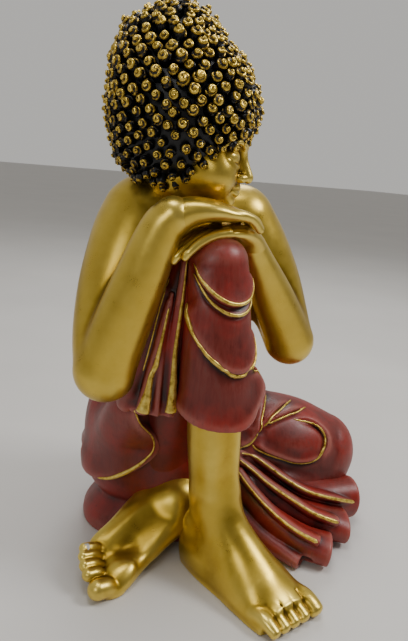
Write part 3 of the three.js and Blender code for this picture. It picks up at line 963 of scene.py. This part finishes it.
def thigh():
    c = Clay((-150, -80, 90), (15, 160, 372), 1.8)
    c.limb([[-64, 74, 110, 60, 62], [-70, 40, 196, 50, 54], [-72, 8, 276, 40, 44], [-70, -20, 330, 33, 34],
            [-69, -30, 348, 28, 28]], up=(1, 0, 0), ends=(0.5, 0.9))
    for x in (-104, -88, -60, -40):
        c.rope([[x * 0.96, -16, 300, 2], [x, 20, 296, 3], [x, 60, 250, 3], [x, 84, 206, 2]], 8, dig=True)
    cast("raised_thigh_cloth", c, ROBE, ("raised_thigh",))


S_HEM = [
    [-143, -17, 200], [-136, -7, 190], [-126, 1, 176], [-116, 5, 165], [-107, 6, 154], [-101, 7, 143],
    [-99, 7, 134], [-101, 9, 125], [-108, 11, 117], [-116, 16, 109], [-125, 24, 101], [-134, 33, 93],
    [-143, 48, 84], [-151, 64, 79]]
S_WIDTHS = (0.9, 1, 1, 1, 1, 1.1, 1.1, 1.2, 1.6, 2.2, 3, 3.2, 2.4, 1.2)
SIDEWAYS = (0.866, -0.5)  # across the view from the figure's right front
SWIRL = [
    [41, 17, 112], [58, 10, 102], [78, 3, 94], [102, -6, 86], [125, -12, 88], [143, -12, 100],
    [149, -5, 115], [142, 3, 128], [126, 12, 135], [106, 18, 136]]
FOLD_A = [[44, 20, 122], [51, 20, 129], [70, 26, 141], [96, 34, 150], [120, 44, 152]]
FOLD_B = [[41, 20, 119], [57, 20, 133], [79, 22, 139], [105, 24, 144], [136, 30, 145]]
WRAP = [[88, 66, 166], [82, 60, 159], [62, 33, 148], [49, 22, 132], [38, 19, 117], [18, 14, 112]]


def lower_robe():
    c = Clay((-195, -70, -6), (245, 210, 212), 1.7)
    c.limb([[-10, 92, -24, 147, 96], [-10, 92, 12, 145, 94], [-11, 95, 55, 134, 90],
            [-20, 97, 100, 136, 88], [-24, 99, 140, 132, 84], [-15, 100, 174, 112, 76],
            [-14, 102, 205, 90, 64]], up=UPRIGHT, ends=(0, 0))
    c.keep(c.half((0, 0, 196), (0, 0, 1)), 8)
    c.limb([[60, 76, 94, 66, 70], [118, 54, 88, 62, 66], [150, 42, 78, 60, 62], [174, 32, 70, 56, 58]], 14,
           ends=(0.4, 0.85))
    c.limb([[166, 20, 44, 42, 42], [90, 12, 40, 32, 38], [6, 20, 40, 28, 34]], 8, ends=(0.8, 0))
    c.soften(2)
    c.limb([[-124, 14, 206, 20, 22], [-126, 30, 180, 27, 30], [-123, 50, 148, 34, 36],
            [-116, 76, 108, 37, 38]], 22, up=(1, 0, 0), ends=(0.3, 0.5), reach=26)
    c.rope([[-118, 40, 111, 5], [-143, 78, 106, 8], [-147, 118, 102, 10], [-127, 150, 98, 8],
            [-86, 174, 95, 5]], 10)

    def flare(x, y, z):
        angle = np.degrees(np.arctan2(x + 14, -(y - 96)))
        side = step_up(-angle, 28, 60) * step_up(angle, -175, -140)
        wave = np.sin(np.radians(angle * 17 + 0.4 * z + 70 * np.sin(angle / 21)))
        folds = 4.2 * step_up(abs(angle), 96, 120) * wave * np.exp(-(((z - 56) / 70) ** 2))
        return folds + side * (3 * np.exp(-(((z - 10) / 11) ** 2)) - 6 * np.exp(-(((z - 38) / 13) ** 2)))

    c.swell((-195, -70, -6), (160, 210, 195), flare)
    c.dent((-98, -4, 176), (22, 18, 30), 14)
    hem = np.array([[p[0] * SIDEWAYS[0] + p[1] * SIDEWAYS[1], p[2]] for p in S_HEM])
    outline = np.vstack([hem, [[-185, 76], [-230, 76], [-230, 240], [-112, 240]]])
    c.layer((-195, -60, 60), (-60, 100, 212), SIDEWAYS, outline, 14, 9, 28)
    c.lip(WRAP, 4.0, (-1, 0, 0.6), 12, 0.4, (0.1, 0.05))
    c.lip(FOLD_A, 4.0, (-0.4, 0, 1), 13, 0.5, (0.2, 0.35))
    c.lip(FOLD_B, 4.5, (-0.4, 0, 1), 10, 0.6, (0.15, 0.3))
    c.swell((40, -60, 70), (160, 80, 160), lambda x, y, z: 4 * np.exp(
        -(((x - 100) / 34) ** 2) - ((z - 109) / 15) ** 2 - ((y - 4) / 24) ** 2))
    c.lip(SWIRL[:6], 4.5, (0, 0, 1), 9, 0.9, (0.1, 0.3))
    c.lip(SWIRL[4:], 4.0, (0.6, 0.2, 0.6), 14, 0.9, (0.3, 0.3))
    c.rope([[*p, 1.8] for p in SWIRL], 3)
    c.stand()
    cast("lower_robe_cloth", c, ROBE, ("hip_shell", "folded_leg"))
    bead("lower_robe_edging", c, [
        drawn(np.array(S_HEM) + (-4, -8, 4), S_WIDTHS),
        drawn(WRAP, (1.4, 1.5, 1.4, 1.4, 1.6, 1.8)),
        drawn(FOLD_A[1:], (0.9, 1.4, 1.5, 1.0)),
        drawn(FOLD_B, (1.0, 1.4, 1.6, 1.5, 1.0)),
        drawn(SWIRL, (1.2, 1.4, 1.5, 1.6, 1.8, 1.7, 1.6, 1.4, 1.2, 0.9)),
    ], ("hip_shell", "folded_leg"))


FAN_RIDGES = [
    [[22, 12, 105], [41, 11, 98], [56, -2, 88], [73, -22, 76], [92, -38, 65], [114, -46, 56],
     [144, -52, 46], [172, -52, 36]],
    [[18, 8, 98], [33, -4, 86], [47, -24, 74], [67, -52, 62], [85, -72, 52], [112, -87, 42]],
    [[14, 2, 86], [19, -19, 74], [29, -45, 60], [39, -70, 51], [50, -89, 45], [64, -106, 40]],
]
# where the folds open on the floor: the way they face, their middle and their radii
FAN_MOUTHS = [
    ((0.96, -0.16, -0.05), (200, -34, 13), (28, 17, 28)),
    ((0.96, -0.1, 0), (198, -14, 5), (20, 12, 22)),
    ((0.87, -0.44, -0.1), (153, -74, 3), (24, 18, 20)),
    ((0.9, -0.3, 0), (158, -58, 0), (18, 13, 19)),
    ((0.74, -0.63, -0.1), (100, -108, 3), (24, 14, 18)),
]


def fan():
    c = Clay((-10, -145, -6), (220, 60, 130), 1.2)
    for rows, soft in (
        ([[10, 14, 66, 12, 20], [46, 0, 50, 18, 26], [110, -16, 36, 26, 24], [184, -28, 28, 28, 29]], 0),
        ([[20, 6, 66, 10, 18], [60, -22, 40, 16, 24], [100, -46, 26, 22, 22], [142, -66, 17, 30, 19]], 3),
        ([[14, 2, 60, 9, 16], [36, -40, 36, 14, 22], [64, -76, 22, 20, 20], [90, -98, 17, 25, 18]], 3),
    ):
        c.limb(rows, soft, ends=(1, 0.25), cuts=5)
    for ridge, wide in zip(FAN_RIDGES, (24, 20, 17)):
        line = np.array(ridge, float)
        out = np.array([0.40, 0.30, 0.87])  # the layer's face, leaning towards the knee
        rows = []
        for at, (p, way) in enumerate(zip(line, np.gradient(line, axis=0))):
            a = 7 + (wide - 7) * at / (len(line) - 1)
            lean = np.cross(out, unit(way))
            lean = unit(lean) * np.sign(-(lean @ [0.8, 0.6, -0.6]))
            rows.append([*(p - lean * (a - 1.5)), a, 4.5 + a * 0.16])
        c.limb(rows, 1.5, up=out, ends=(1, 0.2), cuts=6)
    c.limb([[8, -12, 34, 12, 16], [24, -44, 20, 13, 13], [44, -80, 11, 13, 11], [52, -94, 9, 13, 9]], 1,
           ends=(1, 0.1))
    for way, spot, radii in FAN_MOUTHS:
        way = unit(way)
        side = unit(np.cross((0, 0, 1), way))
        c.dent(spot, radii, 1.5, np.array([way, side, np.cross(way, side)]))
    c.dent((55, -99, 9), (9, 12, 7), 1, np.array([[0.86, 0.5, 0], [0.5, -0.86, 0], [0, 0, 1]]))
    c.stand()
    cast("hem_fan_cloth", c, ROBE, ("hem_fan",))
    bead("hem_fan_edging", c, [drawn(ridge, np.linspace(1.0, 2.6, len(ridge))) for ridge in FAN_RIDGES],
         ("hem_fan",))


upper_body()
right_leg()
left_foot()
right_hand()
left_hand()
head()
hair()
drape()
pleats()
thigh()
lower_robe()
fan()

base = bpy.data.objects["base_plate"]
base.data.materials.clear()
base.data.materials.append(RAW)


# ---- floor, light and camera
def studio():
    floor = bpy.data.meshes.new("floor")
    size, z = 30.0, CAD_LOW[2]
    corners = [(-size, -size, z), (size, -size, z), (size, size, z), (-size, size, z)]
    floor.from_pydata(corners, [], [(0, 1, 2, 3)])
    g = Graph("pale_floor")
    patch = g.noise(0.6, 3.0)
    floor.materials.append(g.finish(g.ramp(patch, (0.3, (0.60, 0.58, 0.55)), (0.7, (0.66, 0.64, 0.61))),
                                    g.span(patch, 0.3, 0.7, 0.5, 0.6)))
    ground = add("floor", floor)

    target = Vector(place((0, 0, 300)))
    for name, spot, power, width in (
        ("key", (1.3, -0.9, 1.9), 28, 0.7),
        ("fill", (-1.7, -1.3, 1.4), 9, 0.8),
        ("back", (0.9, 1.6, 1.9), 16, 1.0),
        ("top", (-0.2, -0.1, 2.4), 18, 0.9),
    ):
        data = bpy.data.lights.new(name, "AREA")
        data.energy, data.size = power, width
        lamp = add(name, data)
        lamp.location = spot
        lamp.rotation_euler = (target - Vector(spot)).to_track_quat("-Z", "Y").to_euler()

    g = Graph("room", bpy.data.worlds)
    ahead = g.node("SeparateXYZ", {0: g.node("TexCoord", out="Generated")}, out="Y")
    tone = g.ramp(g.span(ahead, -1.0, 1.0), (0.15, (0.16, 0.15, 0.14)), (0.75, (0.52, 0.51, 0.49)))
    sky = g.node("Background", {"Color": tone, "Strength": 1.0})
    g.node("OutputWorld", {"Surface": sky}, out=None)
    bpy.context.scene.world = g.owner


EYE, LENS = (-363.3, -529.3, 456), 31.45


def camera():
    """The view from the figure's right front, a little above it and slightly rolled."""
    azimuth, pitch, roll = map(math.radians, (-30, 15, 5))
    right = Vector((math.cos(azimuth), math.sin(azimuth), 0))
    level = math.cos(pitch)
    ahead = Vector((-math.sin(azimuth) * level, math.cos(azimuth) * level, -math.sin(pitch)))
    up = right.cross(ahead)
    tilted = right * math.cos(roll) + up * math.sin(roll)
    raised = up * math.cos(roll) - right * math.sin(roll)
    data = bpy.data.cameras.new("camera")
    data.sensor_width, data.lens = 36, LENS
    eye = add("camera", data)
    turn = Matrix((tilted, raised, -ahead)).transposed().to_4x4()
    eye.matrix_world = Matrix.Translation(Vector(place(EYE))) @ turn
    bpy.context.scene.camera = eye


studio()
camera()
